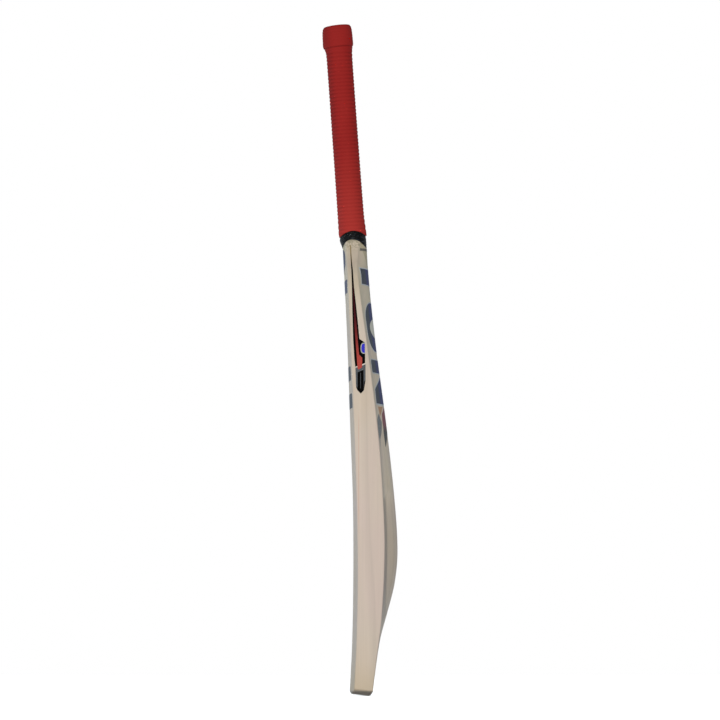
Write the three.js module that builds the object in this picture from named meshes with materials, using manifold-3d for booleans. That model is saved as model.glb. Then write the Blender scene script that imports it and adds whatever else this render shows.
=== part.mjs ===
// Short-handle cricket bat, in millimetres.
//
// +Z runs up the bat from the toe to the butt of the handle and X runs across the blade. The
// striking face looks towards -Y and the back, with its spine and low swell, towards +Y.
//
// The handle is a cane blank of twelve strips with three flat rubber springs between its layers.
// Its lower end is a wedge, the splice, let into a V in the willow blade. Twine binds the handle
// and a ribbed rubber grip is rolled over it. Thin decals lie on the face, the back and the edges.

import * as THREE from 'three';
import { mergeVertices } from 'three/addons/utils/BufferGeometryUtils.js';
import Module from 'manifold-3d';

const wasm = await Module();
wasm.setup();

// ---------------------------------------------------------------- driving dimensions

const GAP = 0.3; // clearance between pieces that touch on the real bat

const HALF_WIDTH = 53.4; // with a decal on each edge the bat is 108 mm wide
const SHOULDER_Z = 490; // where the edges start to close on the handle
const BLADE_TOP_Z = 581; // upper end of the willow before the shoulder arch trims it
const BLADE_BOTTOM_Z = -15; // lower end of the willow before the toe is trimmed
const NECK_HALF_WIDTH = 17.2; // blade at the handle
const STRAIGHT_STEP = 24; // height between two sections of the straight part
const SHOULDER_PULLS = [[HALF_WIDTH, 549], [18.5, 541]]; // they bend the shoulder's curve
const SHOULDER_STEPS = 14;

// Side view of the blade: [height, depth] points of each long line, bottom to top.
const CREST_LINE = [
  [-15, -14.2], [60, -10.2], [150, -8.5], [245, -9], [335, -12.2], [450, -16.2], [585, -22.7],
];
const FACE_EDGE_LINE = [
  [-15, -8.4], [60, -4.6], [150, -2.8], [245, -4.1], [335, -7.1], [450, -12.1], [585, -18.2],
];
const BACK_EDGE_LINE = [
  [-15, 13.6], [45, 21], [100, 27.7], [180, 31.4], [245, 29.4], [335, 22.4], [450, 8], [530, -2],
  [585, -6],
];
const SPINE_LINE = [
  [-15, 13.8], [45, 21.3], [75, 26.4], [105, 34.6], [142, 43.8], [182, 47.6], [245, 44], [335, 34.2],
  [450, 19.1], [530, 10.9], [585, 8],
];
const CORNER_LINE = [[-15, 1.5], [530, 1.5], [560, 3.5], [585, 6]]; // rounding of the long corners

const SCALLOP_DEPTH = 1.5; // hollow of the back beside each edge, at the swell
const SCALLOP_Z = 200;
const SCALLOP_REACH = 120;
const SCOOP_END_Z = 262; // the hollow beside each edge runs out upwards between these heights
const SCOOP_START_Z = 246;
const SCOOP_FOOT = 0.72; // where the swell's flank meets the hollow, from the spine to the edge
const DOME_START_Z = 480; // the back's bell section turns into a dome between these heights
const DOME_END_Z = 560;
const DOME_POWER = 2.4;

const FACE_STEPS = 13; // odd, so that the face has a flat facet along its crest to lie on
const BACK_STEPS = 18;
const CORNER_STEPS = 3;

const TOE_FACE_Y = -9; // the toe's flat runs between these depths
const TOE_BACK_Y = 10;
const TOE_TILT = THREE.MathUtils.degToRad(6.5); // square to the blade, which leans here
const TOE_FLAT_HALF = 24; // half width of the toe's flat middle
const TOE_CROWN = 4.8; // rise from the flat middle to the corners
const TOE_CORNER = 3; // corner radius in the front view
const TOE_FACE_ROUND = [-13.2, 11]; // the side view's rounding leaves the face here
const TOE_FACE_PULL = [-13.6, 0.5]; // depth, and height above the flat's edge, that bend it
const TOE_BACK_ROUND = [17.2, 10]; // the rounding at the back ends here
const TOE_BACK_PULL = [15.4, 0];

// Arch in which the willow ends around the handle: [depth, height] points from face to back.
const ARCH_POINTS = [
  [-24, 563.4], [-19.5, 571.7], [-15, 575.7], [-9.5, 576.8], [-3, 575.5], [3, 571.8], [10, 565],
];

const LEAN = THREE.MathUtils.degToRad(4.1); // the handle leans towards the face
const NECK = new THREE.Vector3(0, -9.4, 577); // the handle's frame starts here
const CANE_TOP = 271.2;
const BINDING_TOP = 264.6;
const GRIP_TOP = 275.1;

// Outside of the twine along the handle: [distance up the handle, radius or offset].
const BINDING_RX = [[-16, 17], [0, 16.7], [8, 16.1], [30, 14.4], [60, 14.1], [290, 14.1]];
const BINDING_RY = [[-16, 15], [0, 15.9], [8, 15.4], [30, 14.4], [60, 14.1], [290, 14.1]];
const NECK_OFFSET = [[-16, 2.1], [0, 1.5], [8, 1.1], [16, 0.5], [34, 0], [290, 0]];
const CORE_RX = [[-16, 13.6], [0, 15.1], [8, 14.8], [30, 13.3], [60, 13], [290, 13]];
const TWINE_THICKNESS = 0.8;

const GRIP_LIP = 7.4; // lowest point of the grip's arched lip, at the face and the back
const GRIP_LIP_ARCH = 4; // how much higher the lip is at the edges
const LIP_BEVEL = 0.4;
const GRIP_HOLE = 12; // radius of the rim's hole over the cane's end
const RIM_OUTSIDE = 15.6; // outer radius of the rim's flat top
const RIM_BEVEL = 0.7;
const GRIP_OUTSIDE = [
  [GRIP_LIP + GRIP_LIP_ARCH, 17.3], [16.4, 17.4], [30, 16.8], [75, 16.5], [113, 16.4],
  [233.6, 16.4], [242.6, 17.5], [246.1, 17.8], [247.1, 18.7], [249.6, 19.2], [267.6, 19.1],
  [272.1, 18.4],
  [GRIP_TOP - RIM_BEVEL, 17.2],
];
const COLLAR_TILT = 0.05; // the collar sits askew, higher towards the back
const COLLAR_SHIFT = -0.6; // and this far towards the face
const COLLAR_FROM = 240; // distance up the handle
const RIM_UNDERSIDE = CANE_TOP + GAP;

const SPRING_THICKNESS = 1.6;
const LAYER_PITCH = 6.8; // from one spring's middle to the next
const COLUMN_EDGE = 4.6; // between the middle strips and the outer ones
const AROUND = 32; // sides of a round section

const WEDGE_TIP_Z = 432;
const WEDGE_TIP_HALF = 4;
const WEDGE_TOP_Z = 580;
const WEDGE_TOP_HALF = 15.4;

const DECAL_LIFT = 0.25;
const DECAL_THICKNESS = 0.3;
const FAR = 80; // clears the blade on either side

// ---------------------------------------------------------------- materials

function finish(colour, roughness) {
  return new THREE.MeshStandardMaterial({ color: colour, roughness, metalness: 0 });
}

const willow = finish('#cabba8', 0.55);
const cane = finish('#c9a667', 0.5);
const springRubber = finish('#3a3733', 0.85);
const gripRubber = finish('#a32a26', 0.6);
const twine = finish('#15181b', 0.4);
const decalFilm = finish('#34343f', 0.4);

// ---------------------------------------------------------------- curves

// A smooth function of the first coordinate through [position, value] points.
function through(points) {
  const last = points.length - 1;
  const slopes = points.map((point, i) => {
    const before = points[Math.max(i - 1, 0)];
    const after = points[Math.min(i + 1, last)];
    return (after[1] - before[1]) / (after[0] - before[0]);
  });
  return (position) => {
    const found = points.findIndex((point) => point[0] >= position);
    const i = found < 1 ? 1 : found;
    const [start, from] = points[i - 1];
    const [end, to] = points[i];
    const span = end - start;
    const t = (position - start) / span;
    const s = 1 - t;
    return (
      from * s * s * (1 + 2 * t) +
      to * t * t * (1 + 2 * s) +
      slopes[i - 1] * span * s * s * t -
      slopes[i] * span * t * t * s
    );
  };
}

const crestAt = through(CREST_LINE);
const faceEdgeAt = through(FACE_EDGE_LINE);
const backEdgeAt = through(BACK_EDGE_LINE);
const spineAt = through(SPINE_LINE);
const cornerAt = through(CORNER_LINE);

// ---------------------------------------------------------------- solids

// Joins rings of equal length into one skin. A closed loft joins the last ring to the first and
// makes a sleeve; an open one gets a cap at each end.
function loft(rings, closed = false) {
  const count = rings[0].length;
  const points = rings.flat();
  const index = [];
  const bands = closed ? rings.length : rings.length - 1;
  for (let k = 0; k < bands; k += 1) {
    const low = k * count;
    const high = ((k + 1) % rings.length) * count;
    for (let i = 0; i < count; i += 1) {
      const next = (i + 1) % count;
      index.push(low + i, low + next, high + next);
      index.push(low + i, high + next, high + i);
    }
  }
  if (!closed) {
    const top = (rings.length - 1) * count;
    const bottomMiddle = points.push(middleOf(rings[0])) - 1;
    const topMiddle = points.push(middleOf(rings[rings.length - 1])) - 1;
    for (let i = 0; i < count; i += 1) {
      const next = (i + 1) % count;
      index.push(bottomMiddle, next, i);
      index.push(topMiddle, top + i, top + next);
    }
  }
  const geometry = new THREE.BufferGeometry().setFromPoints(points);
  geometry.setIndex(index);
  return geometry;
}

function middleOf(ring) {
  const middle = new THREE.Vector3();
  ring.forEach((point) => middle.add(point));
  return middle.divideScalar(ring.length);
}

// A solid for cutting and joining, from any closed geometry.
function solidOf(geometry) {
  const bare = geometry.clone();
  bare.deleteAttribute('normal');
  bare.deleteAttribute('uv');
  const merged = mergeVertices(bare, 1e-4);
  return new wasm.Manifold(
    new wasm.Mesh({
      numProp: 3,
      vertProperties: new Float32Array(merged.attributes.position.array),
      triVerts: new Uint32Array(merged.index.array),
    }),
  );
}

function geometryOf(solid) {
  const mesh = solid.getMesh();
  const geometry = new THREE.BufferGeometry();
  geometry.setAttribute('position', new THREE.BufferAttribute(mesh.vertProperties, 3));
  geometry.setIndex(new THREE.BufferAttribute(mesh.triVerts, 1));
  geometry.computeVertexNormals();
  return geometry;
}

const PRISM = { bevelEnabled: false, curveSegments: 8 };

// Extrudes an outline of x and z points along Y, from one depth to the other.
function prismAlongY(shape, fromY, toY) {
  const geometry = new THREE.ExtrudeGeometry(shape, { ...PRISM, depth: toY - fromY });
  const turn = new THREE.Matrix4().makeRotationX(Math.PI / 2);
  return geometry.applyMatrix4(turn).translate(0, toY, 0);
}

// Extrudes an outline of y and z points along X.
function prismAlongX(shape, fromX, toX) {
  const geometry = new THREE.ExtrudeGeometry(shape, { ...PRISM, depth: toX - fromX });
  const turn = new THREE.Matrix4().makeBasis(
    new THREE.Vector3(0, 1, 0),
    new THREE.Vector3(0, 0, 1),
    new THREE.Vector3(1, 0, 0),
  );
  return geometry.applyMatrix4(turn).translate(fromX, 0, 0);
}

// ---------------------------------------------------------------- blade

// Height and half width of each section: straight edges, then the S of the shoulder.
function bladeSections() {
  const sections = [];
  for (let z = BLADE_BOTTOM_Z; z < SHOULDER_Z - STRAIGHT_STEP / 2; z += STRAIGHT_STEP) {
    sections.push({ z, halfWidth: HALF_WIDTH });
  }
  const shoulder = new THREE.CubicBezierCurve(
    new THREE.Vector2(HALF_WIDTH, SHOULDER_Z),
    new THREE.Vector2(...SHOULDER_PULLS[0]),
    new THREE.Vector2(...SHOULDER_PULLS[1]),
    new THREE.Vector2(NECK_HALF_WIDTH, BLADE_TOP_Z),
  );
  shoulder.getPoints(SHOULDER_STEPS).forEach((point) => {
    sections.push({ z: point.y, halfWidth: point.x });
  });
  return sections;
}

// The back across the blade, from 0 at the spine to 1 at the edge: a bell, which narrows at the
// swell to leave a scooped hollow beside each edge, and rounds off into a dome at the shoulders.
function backAt(z, across) {
  const wide = (1 + Math.cos(Math.PI * across)) / 2;
  const narrow = (1 + Math.cos(Math.PI * Math.min(Math.abs(across) / SCOOP_FOOT, 1))) / 2;
  const scooped = 1 - THREE.MathUtils.smoothstep(z, SCOOP_START_Z, SCOOP_END_Z);
  const bell = THREE.MathUtils.lerp(wide, narrow, scooped);
  const dome = 1 - Math.abs(across) ** DOME_POWER;
  const rounded = THREE.MathUtils.smoothstep(z, DOME_START_Z, DOME_END_Z);
  const rise = THREE.MathUtils.lerp(bell, dome, rounded);
  const hollow = 4 * across ** 2 * (1 - across ** 2);
  const swell = Math.exp(-(((z - SCALLOP_Z) / SCALLOP_REACH) ** 2));
  return backEdgeAt(z) + (spineAt(z) - backEdgeAt(z)) * rise - SCALLOP_DEPTH * swell * hollow;
}

function faceAt(z, across) {
  return crestAt(z) + (faceEdgeAt(z) - crestAt(z)) * across ** 2;
}

// One section of the blade, grown outwards by the given amount.
function bladeRing({ z, halfWidth }, grow) {
  const corner = cornerAt(z);
  const inner = halfWidth - corner;
  const across = inner / halfWidth;
  const wide = halfWidth + grow;
  const face = faceAt(z, across) - grow;
  const back = backAt(z, across) + grow;
  const right = [];
  for (let i = 1; i < CORNER_STEPS; i += 1) {
    const angle = (i / CORNER_STEPS) * (Math.PI / 2);
    right.push([wide - corner * (1 - Math.sin(angle)), face + corner * (1 - Math.cos(angle))]);
  }
  right.push([wide, face + corner], [wide, back - corner]);
  for (let i = 1; i < CORNER_STEPS; i += 1) {
    const angle = (i / CORNER_STEPS) * (Math.PI / 2);
    right.push([wide - corner * (1 - Math.cos(angle)), back - corner * (1 - Math.sin(angle))]);
  }
  const ring = [];
  for (let i = 0; i <= FACE_STEPS; i += 1) {
    const side = (2 * i) / FACE_STEPS - 1;
    ring.push([side * (wide - corner), faceAt(z, side * across) - grow]);
  }
  ring.push(...right);
  for (let i = 0; i <= BACK_STEPS; i += 1) {
    const side = 1 - (2 * i) / BACK_STEPS;
    ring.push([side * (wide - corner), backAt(z, side * across) + grow]);
  }
  ring.push(...right.map(([x, y]) => [-x, y]).reverse());
  return ring.map(([x, y]) => new THREE.Vector3(x, y, z));
}

function bladeEnvelope(grow) {
  return solidOf(loft(bladeSections().map((section) => bladeRing(section, grow))));
}

// Everything below the arch in which the willow ends around the handle, lowered by a drop.
function underArch(drop) {
  const shape = new THREE.Shape();
  shape.moveTo(-FAR, -FAR);
  shape.lineTo(FAR, -FAR);
  shape.lineTo(FAR, ARCH_POINTS.at(-1)[1] - drop);
  shape.lineTo(ARCH_POINTS.at(-1)[0], ARCH_POINTS.at(-1)[1] - drop);
  shape.splineThru(ARCH_POINTS.slice(0, -1).reverse().map(([y, z]) => new THREE.Vector2(y, z - drop)));
  shape.lineTo(-FAR, ARCH_POINTS[0][1] - drop);
  return solidOf(prismAlongX(shape, -FAR, FAR));
}

// Front view of the toe: a flat middle, crowned sides and rounded corners.
function toeFront() {
  const shape = new THREE.Shape();
  const crownEnd = HALF_WIDTH - TOE_CORNER;
  const upper = BLADE_TOP_Z + FAR;
  shape.moveTo(-TOE_FLAT_HALF, 0);
  shape.lineTo(TOE_FLAT_HALF, 0);
  shape.quadraticCurveTo((TOE_FLAT_HALF + crownEnd) / 2, 0, crownEnd, TOE_CROWN);
  shape.quadraticCurveTo(HALF_WIDTH, TOE_CROWN + TOE_CORNER / 2, HALF_WIDTH, TOE_CROWN + TOE_CORNER);
  shape.lineTo(FAR, TOE_CROWN + TOE_CORNER + FAR);
  shape.lineTo(FAR, upper);
  shape.lineTo(-FAR, upper);
  shape.lineTo(-FAR, TOE_CROWN + TOE_CORNER + FAR);
  shape.lineTo(-HALF_WIDTH, TOE_CROWN + TOE_CORNER);
  shape.quadraticCurveTo(-HALF_WIDTH, TOE_CROWN + TOE_CORNER / 2, -crownEnd, TOE_CROWN);
  shape.quadraticCurveTo(-(TOE_FLAT_HALF + crownEnd) / 2, 0, -TOE_FLAT_HALF, 0);
  const tilt = new THREE.Matrix4().makeRotationX(-TOE_TILT).setPosition(0, TOE_BACK_Y, 0);
  return solidOf(prismAlongY(shape, -2 * FAR, 2 * FAR).applyMatrix4(tilt));
}

// Side view of the toe: a small rounding at the face and a larger one at the back.
function toeSide() {
  const faceZ = (TOE_BACK_Y - TOE_FACE_Y) * Math.tan(TOE_TILT);
  const shape = new THREE.Shape();
  shape.moveTo(-FAR, FAR);
  shape.lineTo(...TOE_FACE_ROUND);
  shape.quadraticCurveTo(TOE_FACE_PULL[0], faceZ + TOE_FACE_PULL[1], TOE_FACE_Y, faceZ);
  shape.lineTo(TOE_BACK_Y, 0);
  shape.quadraticCurveTo(...TOE_BACK_PULL, ...TOE_BACK_ROUND);
  shape.lineTo(FAR, FAR);
  shape.lineTo(FAR, BLADE_TOP_Z + FAR);
  shape.lineTo(-FAR, BLADE_TOP_Z + FAR);
  return solidOf(prismAlongX(shape, -FAR, FAR));
}

// ---------------------------------------------------------------- handle

const handleMatrix = new THREE.Matrix4().makeRotationX(LEAN).setPosition(NECK);

// A round section across the handle, at a distance up it, with a lip that rises at the edges.
function handleRing(up, radiusX, radiusY, offset = 0, arch = 0) {
  const ring = [];
  for (let i = 0; i < AROUND; i += 1) {
    const angle = (i / AROUND) * 2 * Math.PI;
    const rise = arch * Math.cos(angle) ** 2;
    ring.push(new THREE.Vector3(radiusX * Math.cos(angle), offset + radiusY * Math.sin(angle), up + rise));
  }
  return ring;
}

const bindingRx = through(BINDING_RX);
const bindingRy = through(BINDING_RY);
const coreRx = through(CORE_RX);
const neckOffset = through(NECK_OFFSET);
const NECK_STOPS = [-16, -8, 0, 8, 16, 30, 45, 60];

function bindingRing(up, inset, arch = 0) {
  return handleRing(up, bindingRx(up) - inset, bindingRy(up) - inset, neckOffset(up), arch);
}

// The cane blank's round part, grown outwards by the given amount, in the bat's frame.
function handleCore(grow) {
  const inset = TWINE_THICKNESS + GAP - grow;
  const stops = [...NECK_STOPS, CANE_TOP];
  const rings = stops.map((up) => handleRing(up, coreRx(up) + grow, bindingRy(up) - inset, neckOffset(up)));
  return solidOf(loft(rings).applyMatrix4(handleMatrix));
}

// The wedge below the shoulders, grown sideways by the given amount.
function spliceWedge(grow) {
  const shape = new THREE.Shape();
  shape.moveTo(-WEDGE_TIP_HALF - grow, WEDGE_TIP_Z - grow);
  shape.lineTo(WEDGE_TIP_HALF + grow, WEDGE_TIP_Z - grow);
  shape.lineTo(WEDGE_TOP_HALF + grow, WEDGE_TOP_Z);
  shape.lineTo(-WEDGE_TOP_HALF - grow, WEDGE_TOP_Z);
  return solidOf(prismAlongY(shape, -FAR, FAR));
}

const envelope = bladeEnvelope(0);
const trimmedBlade = envelope.intersect(underArch(0)).intersect(toeFront()).intersect(toeSide());
const bladeSolid = trimmedBlade.subtract(spliceWedge(GAP)).subtract(handleCore(GAP));
const blank = handleCore(0).add(envelope.intersect(underArch(GAP)).intersect(spliceWedge(0)));

// A slab of the blank between two depths and two widths, measured across the handle.
function blankSlab(fromX, toX, fromY, toY) {
  const length = 2 * FAR + CANE_TOP + WEDGE_TOP_Z - WEDGE_TIP_Z;
  const box = new THREE.BoxGeometry(toX - fromX, toY - fromY, length);
  box.translate((fromX + toX) / 2, (fromY + toY) / 2, CANE_TOP + FAR - length / 2);
  return blank.intersect(solidOf(box.applyMatrix4(handleMatrix)));
}

const bat = new THREE.Group();
const toHandle = handleMatrix.clone().invert();
const handle = new THREE.Group();
handle.position.copy(NECK);
handle.rotation.x = LEAN;
bat.add(handle);

function addMesh(parent, name, geometry, material) {
  const mesh = new THREE.Mesh(geometry, material.clone());
  mesh.name = name;
  parent.add(mesh);
}

function addHandlePiece(name, solid, material) {
  addMesh(handle, name, geometryOf(solid).applyMatrix4(toHandle), material);
}

addMesh(bat, 'blade', geometryOf(bladeSolid), willow);

// Cane strips: four layers from the face to the back, three strips side by side in each.
const springs = [-LAYER_PITCH, 0, LAYER_PITCH];
const half = GAP / 2;
const clear = SPRING_THICKNESS / 2 + GAP;
const layers = [
  ['face', -FAR, springs[0] - clear],
  ['fore', springs[0] + clear, springs[1] - clear],
  ['aft', springs[1] + clear, springs[2] - clear],
  ['back', springs[2] + clear, FAR],
];
const columns = [
  ['left', -FAR, -COLUMN_EDGE - half],
  ['middle', -COLUMN_EDGE + half, COLUMN_EDGE - half],
  ['right', COLUMN_EDGE + half, FAR],
];
layers.forEach(([layer, fromY, toY]) => {
  columns.forEach(([column, fromX, toX]) => {
    addHandlePiece(`cane_${layer}_${column}`, blankSlab(fromX, toX, fromY, toY), cane);
  });
});

springs.forEach((middle, i) => {
  const name = `rubber_spring_${['face', 'centre', 'back'][i]}`;
  const slab = blankSlab(-FAR, FAR, middle - SPRING_THICKNESS / 2, middle + SPRING_THICKNESS / 2);
  addHandlePiece(name, slab, springRubber);
});

// Twine binding: a sleeve on the whole blank, open to view between the grip and the shoulders.
const bindingStops = [...NECK_STOPS, BINDING_TOP];

function bindingInside(up) {
  return handleRing(up, coreRx(up) + GAP, bindingRy(up) - TWINE_THICKNESS, neckOffset(up));
}

const bindingSleeve = loft(
  [
    ...bindingStops.map((up) => bindingRing(up, 0)),
    ...bindingStops.map(bindingInside).reverse(),
  ],
  true,
);
const bindingSolid = solidOf(bindingSleeve.applyMatrix4(handleMatrix)).subtract(underArch(-GAP));
addHandlePiece('twine_binding', bindingSolid, twine);

function askew(ring) {
  return ring.map(({ x, y, z }) => new THREE.Vector3(x, y + COLLAR_SHIFT, z + COLLAR_TILT * y));
}

// Rubber grip: a sleeve with an arched lip, a thick collar and a rim turned in over the cane. The
// lip's arch fades out over the first sections.
function gripSleeve() {
  const lipRadius = GRIP_OUTSIDE[0][1];
  const outside = GRIP_OUTSIDE.map(([up, radius], i) => {
    const arch = i < 2 ? GRIP_LIP_ARCH / 2 ** i : 0;
    const ring = handleRing(up - arch, radius, radius, neckOffset(up), arch);
    return up > COLLAR_FROM ? askew(ring) : ring;
  });
  const lipTop = GRIP_LIP + GRIP_LIP_ARCH;
  const insideStops = [...NECK_STOPS.filter((up) => up > lipTop), RIM_UNDERSIDE];
  const inside = insideStops.map((up) => bindingRing(up, -GAP)).reverse();
  const lipRing = (up, radiusX, radiusY) =>
    handleRing(up, radiusX, radiusY, neckOffset(lipTop), GRIP_LIP_ARCH);
  const rings = [
    ...outside,
    askew(handleRing(GRIP_TOP, RIM_OUTSIDE, RIM_OUTSIDE)),
    askew(handleRing(GRIP_TOP, GRIP_HOLE + RIM_BEVEL, GRIP_HOLE + RIM_BEVEL)),
    askew(handleRing(GRIP_TOP - RIM_BEVEL, GRIP_HOLE, GRIP_HOLE)),
    handleRing(RIM_UNDERSIDE, GRIP_HOLE, GRIP_HOLE),
    ...inside,
    lipRing(GRIP_LIP, bindingRx(GRIP_LIP) + GAP, bindingRy(GRIP_LIP) + GAP),
    lipRing(GRIP_LIP - LIP_BEVEL, lipRadius - LIP_BEVEL, lipRadius - LIP_BEVEL),
  ];
  return loft(rings, true);
}

addMesh(handle, 'rubber_grip', gripSleeve(), gripRubber);

// ---------------------------------------------------------------- decals

const skin = bladeEnvelope(DECAL_LIFT + DECAL_THICKNESS).subtract(bladeEnvelope(DECAL_LIFT));

function outline(points) {
  return new THREE.Shape(points.map(([u, v]) => new THREE.Vector2(u, v)));
}

// A shape mirrored about the blade's middle, given by its right half from the top down. A point on
// the middle itself isn't repeated.
function mirrored(points) {
  const beside = points.filter(([x]) => x > 0);
  return outline([...points, ...beside.map(([x, z]) => [-x, z]).reverse()]);
}

// A rounded block across the blade.
function block(halfWidth, bottom, top, radius) {
  const shape = new THREE.Shape();
  shape.moveTo(-halfWidth + radius, bottom);
  shape.lineTo(halfWidth - radius, bottom);
  shape.absarc(halfWidth - radius, bottom + radius, radius, -Math.PI / 2, 0);
  shape.absarc(halfWidth - radius, top - radius, radius, 0, Math.PI / 2);
  shape.absarc(-halfWidth + radius, top - radius, radius, Math.PI / 2, Math.PI);
  shape.absarc(-halfWidth + radius, bottom + radius, radius, Math.PI, 1.5 * Math.PI);
  return shape;
}

function addDecal(name, prism) {
  addMesh(bat, name, geometryOf(skin.intersect(solidOf(prism))), decalFilm);
}

// Edge decal: a long needle that widens downwards into a base and a pointed tail.
const NEEDLE = [
  [-12.5, 569.5], [-12.2, 558.5], [-11.6, 547.5], [-10.9, 536], [-10.2, 514.5], [-9.8, 491.5],
  [-9.3, 471], [-8.5, 446], [-7, 421.5], [-5.8, 411.5], [-5, 387.4], [-3.2, 387], [-3.2, 383.2],
  [1, 378.9], [4.9, 383.2], [5.4, 394.6], [7, 395.6], [7, 415.5], [6.4, 417.5], [6.4, 443.2],
  [3.2, 443.4], [-0.7, 448], [-2.5, 467], [-2.9, 471], [-5, 491.5], [-7.6, 514.5], [-9, 536],
  [-10.2, 547.5], [-11, 558.5], [-11.3, 569.5],
];
addDecal('edge_decal_right', prismAlongX(outline(NEEDLE), 0, FAR));
addDecal('edge_decal_left', prismAlongX(outline(NEEDLE), -FAR, 0));

const BACK_DECALS = {
  bar: block(16.5, 560.4, 565.2, 1),
  small_block: mirrored([[0, 539.4], [35, 539.4], [38.6, 518.4]]),
  round_block: block(37.2, 433.6, 497.2, 25),
  low_block: block(39.4, 406.2, 424.2, 2),
  wedge: mirrored([[0, 403.8], [9.6, 402], [37.2, 386.2], [38.4, 366.4]]),
  accent: mirrored([
    [0, 364.5], [29, 364.5], [32, 355], [42, 347], [44.5, 331.5], [38.5, 321], [26.6, 332],
    [21, 331.7], [21, 314.2], [0, 326],
  ]),
};
const FACE_DECALS = {
  leaf: mirrored([[6, 565], [14, 562], [18, 557], [22, 550], [25, 544], [18, 538], [5, 534]]),
  bar: block(44, 507, 524, 2),
  upper_block: block(44, 396.5, 414.5, 3),
  lower_block: block(47, 361.5, 380, 3),
};
// The back's decals lie behind this depth, and the face's in front of it.
const BETWEEN_Y = -5;
Object.entries(BACK_DECALS).forEach(([name, shape]) => {
  addDecal(`back_decal_${name}`, prismAlongY(shape, BETWEEN_Y, FAR));
});
Object.entries(FACE_DECALS).forEach(([name, shape]) => {
  addDecal(`face_decal_${name}`, prismAlongY(shape, -FAR, BETWEEN_Y));
});

export default bat;
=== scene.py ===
import functools
import math

import bmesh
import bpy
import numpy as np
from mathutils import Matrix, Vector


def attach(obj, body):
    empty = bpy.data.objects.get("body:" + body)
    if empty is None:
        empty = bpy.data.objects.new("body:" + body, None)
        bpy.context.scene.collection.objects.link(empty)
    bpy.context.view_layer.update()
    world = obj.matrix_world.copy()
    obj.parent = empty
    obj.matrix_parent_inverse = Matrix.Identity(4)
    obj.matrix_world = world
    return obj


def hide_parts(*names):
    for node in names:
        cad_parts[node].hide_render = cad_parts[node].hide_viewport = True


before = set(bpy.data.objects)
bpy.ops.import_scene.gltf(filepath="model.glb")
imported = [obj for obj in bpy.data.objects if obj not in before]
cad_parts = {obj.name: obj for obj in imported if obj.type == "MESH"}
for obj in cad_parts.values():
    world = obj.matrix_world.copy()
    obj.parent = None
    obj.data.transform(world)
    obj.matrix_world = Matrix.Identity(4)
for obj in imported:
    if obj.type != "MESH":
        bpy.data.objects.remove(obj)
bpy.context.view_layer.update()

# The looks of the cricket bat. Lengths below are in millimetres, as in the CAD, and become metres
# where a mesh is made. +Z runs up the bat, X across the blade, the face looks towards -Y.

MM = 0.001

# ------------------------ driving dimensions
#
# The blade's and the handle's dimensions are the CAD's, refined in places where the visual model
# shows more: the scoop, the grip's ribs and lip, and the back just below the neck.

HALF_WIDTH = 53.4
SHOULDER_Z = 490
BLADE_TOP_Z = 581
BLADE_BOTTOM_Z = -15
NECK_HALF_WIDTH = 17.2
SHOULDER_PULLS = ((HALF_WIDTH, 549), (18.5, 541))

CREST_LINE = (
    (-15, -14.2), (60, -10.2), (150, -8.5), (245, -9), (335, -12.2), (450, -16.2), (585, -22.7),
)
FACE_EDGE_LINE = (
    (-15, -8.4), (60, -4.6), (150, -2.8), (245, -4.1), (335, -7.1), (450, -12.1), (585, -18.2),
)
BACK_EDGE_LINE = (
    (-15, 13.6), (45, 21), (100, 27.7), (180, 31.4), (245, 29.4), (335, 22.4), (450, 8),
    (530, -3), (585, -7.6),
)
SPINE_LINE = (
    (-15, 13.8), (45, 21.3), (75, 26.4), (105, 34.6), (142, 43.8), (182, 47.5), (245, 44),
    (335, 34.2), (450, 19.1), (530, 10.9), (585, 7.6),
)
CORNER_LINE = ((-15, 1.5), (530, 1.5), (560, 3.5), (585, 6))  # radius along the edges
SCALLOP_DEPTH = 1.8  # hollow of the back's flanks beside the swell
SCALLOP_Z = 200
SCALLOP_REACH = 120
SCOOP_END_Z = 262
SCOOP_START_Z = 246
SCOOP_FOOT = 0.72  # low on the blade the swell covers this part of the half width
DOME_START_Z = 480
DOME_END_Z = 560
DOME_POWER = 2.4

TOE_FACE_Y = -9
TOE_BACK_Y = 10
TOE_TILT = math.radians(6.5)
TOE_FLAT_HALF = 24
TOE_CROWN = 4.8
TOE_CORNER = 3
TOE_FACE_ROUND = (-13.2, 11)
TOE_FACE_PULL = (-13.6, 0.5)
TOE_BACK_ROUND = (17.2, 10)
TOE_BACK_PULL = (15.4, 0)
ARCH_LINE = (
    (-24, 563.4), (-19.5, 571.7), (-15, 575.7), (-9.5, 576.8), (-3, 575.5), (3, 571.8), (10, 565),
)

LEAN = math.radians(4.1)  # the handle leans towards the face
NECK = (0, -9.4, 577)  # the handle's heights, named "up", count from here along its axis
CANE_TOP = 271.2
BINDING_TOP = 264.6
GRIP_TOP = 275.1
BINDING_RX = ((-16, 17), (0, 16.7), (8, 16.1), (30, 14.4), (60, 14.1), (290, 14.1))
BINDING_RY = ((-16, 15), (0, 15.9), (8, 15.4), (30, 14.4), (60, 14.1), (290, 14.1))
NECK_OFFSET = ((-16, 2.1), (0, 1.5), (8, 1.1), (16, 0.5), (34, 0), (290, 0))
CORE_RX = ((-16, 13.6), (0, 15.1), (8, 14.8), (30, 13.3), (60, 13), (290, 13))
TWINE_THICKNESS = 0.8
GRIP_LIP = 5.2
GRIP_LIP_ARCH = 6.2
LIP_BEVEL = 0.4
GRIP_HOLE = 12
RIM_OUTSIDE = 15.6
RIM_BEVEL = 0.7
RIM_UNDERSIDE = 271.5
COLLAR_TILT = 0.05
COLLAR_FROM = 240
COLLAR_SHIFT = -0.6  # the collar sits this far towards the face
GRIP_OUTSIDE = (
    (11.4, 17.3), (16.4, 17.4), (30, 16.8), (75, 16.5), (113, 16.4), (233.6, 16.4),
    (242.6, 17.1), (246.1, 18), (248.6, 18.9), (252, 19.2), (266.6, 18.9), (272.1, 18.1),
    (274.4, 16.9),
)

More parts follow.
